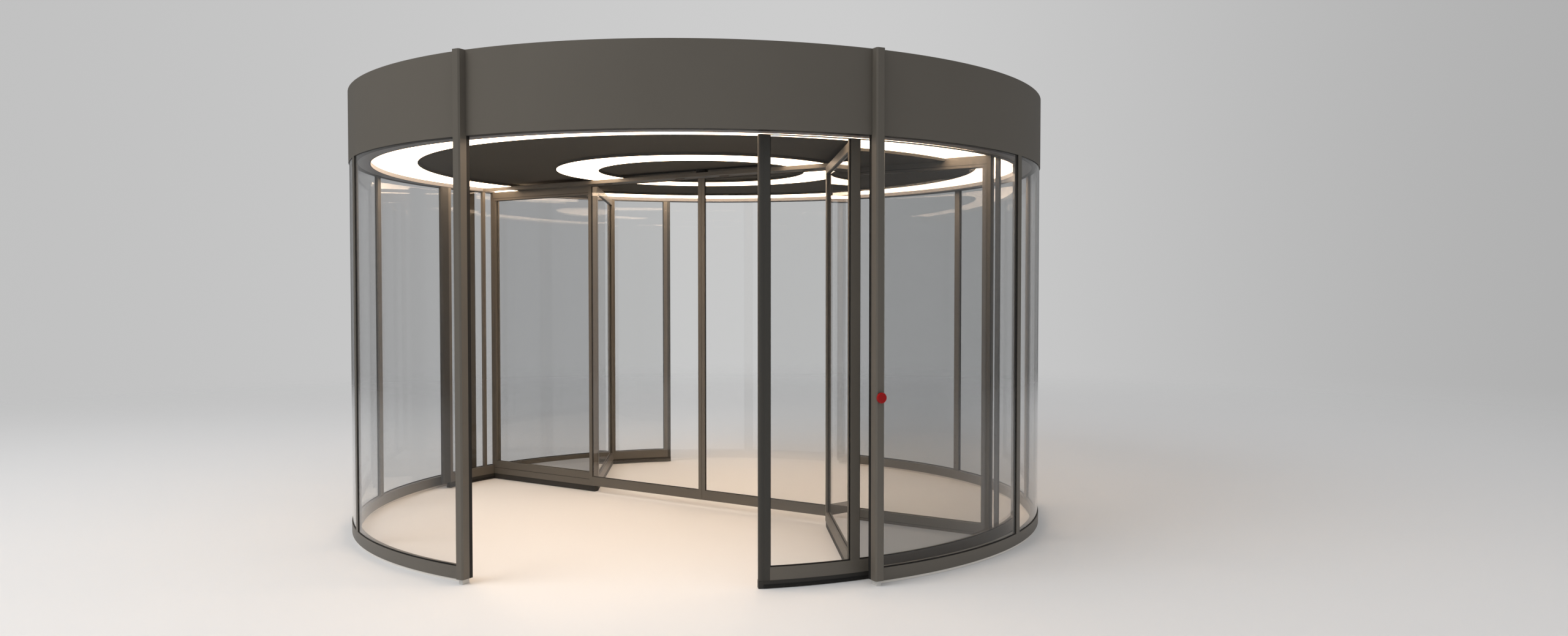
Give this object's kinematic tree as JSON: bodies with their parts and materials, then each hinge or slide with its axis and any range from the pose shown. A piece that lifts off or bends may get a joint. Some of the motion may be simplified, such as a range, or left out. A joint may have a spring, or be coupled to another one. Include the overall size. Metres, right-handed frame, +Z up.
{
  "type": "revolving door",
  "caption": "Large glazed drum revolving door with a two-wing rotor, curved showcase walls, sliding centre leaves and ring lights in the canopy ceiling.",
  "frame": {"origin": "centre of the drum on the floor", "axes": "+Z up, front entry facing -Y, +X to the right seen from the front"},
  "size_m": [4.8, 4.7996, 2.884],
  "materials": {
    "frame_metal": "satin powder coat, warm umber grey",
    "ceiling_metal": "matt dark grey",
    "light_diffuser": "backlit opal diffuser",
    "floor_laminate": "matt grey laminate",
    "clear_glass": "clear float glass with a faint grey tint",
    "rubber_seal": "black seal",
    "signal_red": "gloss signal red",
    "bearing_steel": "turned steel"
  },
  "bodies": {
    "drum": {"canopy_fascia": "frame_metal", "canopy_roof": "ceiling_metal", "ceiling_rim": "frame_metal", "ceiling_deck": "ceiling_metal", "outer_light_ring": "light_diffuser", "ceiling_panel": "ceiling_metal", "inner_light_ring": "light_diffuser", "centre_panel": "ceiling_metal", "shaft_bearing": "bearing_steel", "front_left_post": "frame_metal", "front_right_post": "frame_metal", "rear_right_post": "frame_metal", "rear_left_post": "frame_metal", "post_seals": "rubber_seal", "right_base_rail": "frame_metal", "left_base_rail": "frame_metal", "right_mullions": "frame_metal", "left_mullions": "frame_metal", "right_wall_glass": "clear_glass", "left_wall_glass": "clear_glass", "emergency_button": "signal_red"},
    "rotor": {"drive_shaft": "bearing_steel", "top_beam": "frame_metal", "front_curved_frame": "frame_metal", "front_curved_glass": "clear_glass", "front_wall_nosings": "rubber_seal", "front_panel_frame": "frame_metal", "front_panel_glass": "clear_glass", "front_diagonal_frame": "frame_metal", "front_diagonal_glass": "clear_glass", "front_showcase_roof": "ceiling_metal", "front_showcase_floor": "floor_laminate", "front_skirt": "frame_metal", "rear_curved_frame": "frame_metal", "rear_curved_glass": "clear_glass", "rear_wall_nosings": "rubber_seal", "rear_panel_frame": "frame_metal", "rear_panel_glass": "clear_glass", "rear_diagonal_frame": "frame_metal", "rear_diagonal_glass": "clear_glass", "rear_showcase_roof": "ceiling_metal", "rear_showcase_floor": "floor_laminate", "rear_skirt": "frame_metal"},
    "front_leaf": {"front_leaf_frame": "frame_metal", "front_leaf_glass": "clear_glass"},
    "rear_leaf": {"rear_leaf_frame": "frame_metal", "rear_leaf_glass": "clear_glass"}
  },
  "joints": [
    {"name": "rotor_turn", "type": "hinge", "parent": "drum", "child": "rotor", "pos_m": [0, 0, 0], "axis": [0, 0, 1], "continuous": true},
    {"name": "front_leaf_slide", "type": "slide", "parent": "rotor", "child": "front_leaf", "axis": [0.8425, -0.5388, 0], "range_m": [0, 1]},
    {"name": "rear_leaf_slide", "type": "slide", "parent": "rotor", "child": "rear_leaf", "axis": [-0.8425, 0.5388, 0], "range_m": [0, 1]}
  ],
  "couplings": [
    {"joint": "rear_leaf_slide", "follows": "front_leaf_slide", "ratio": 1}
  ]
}
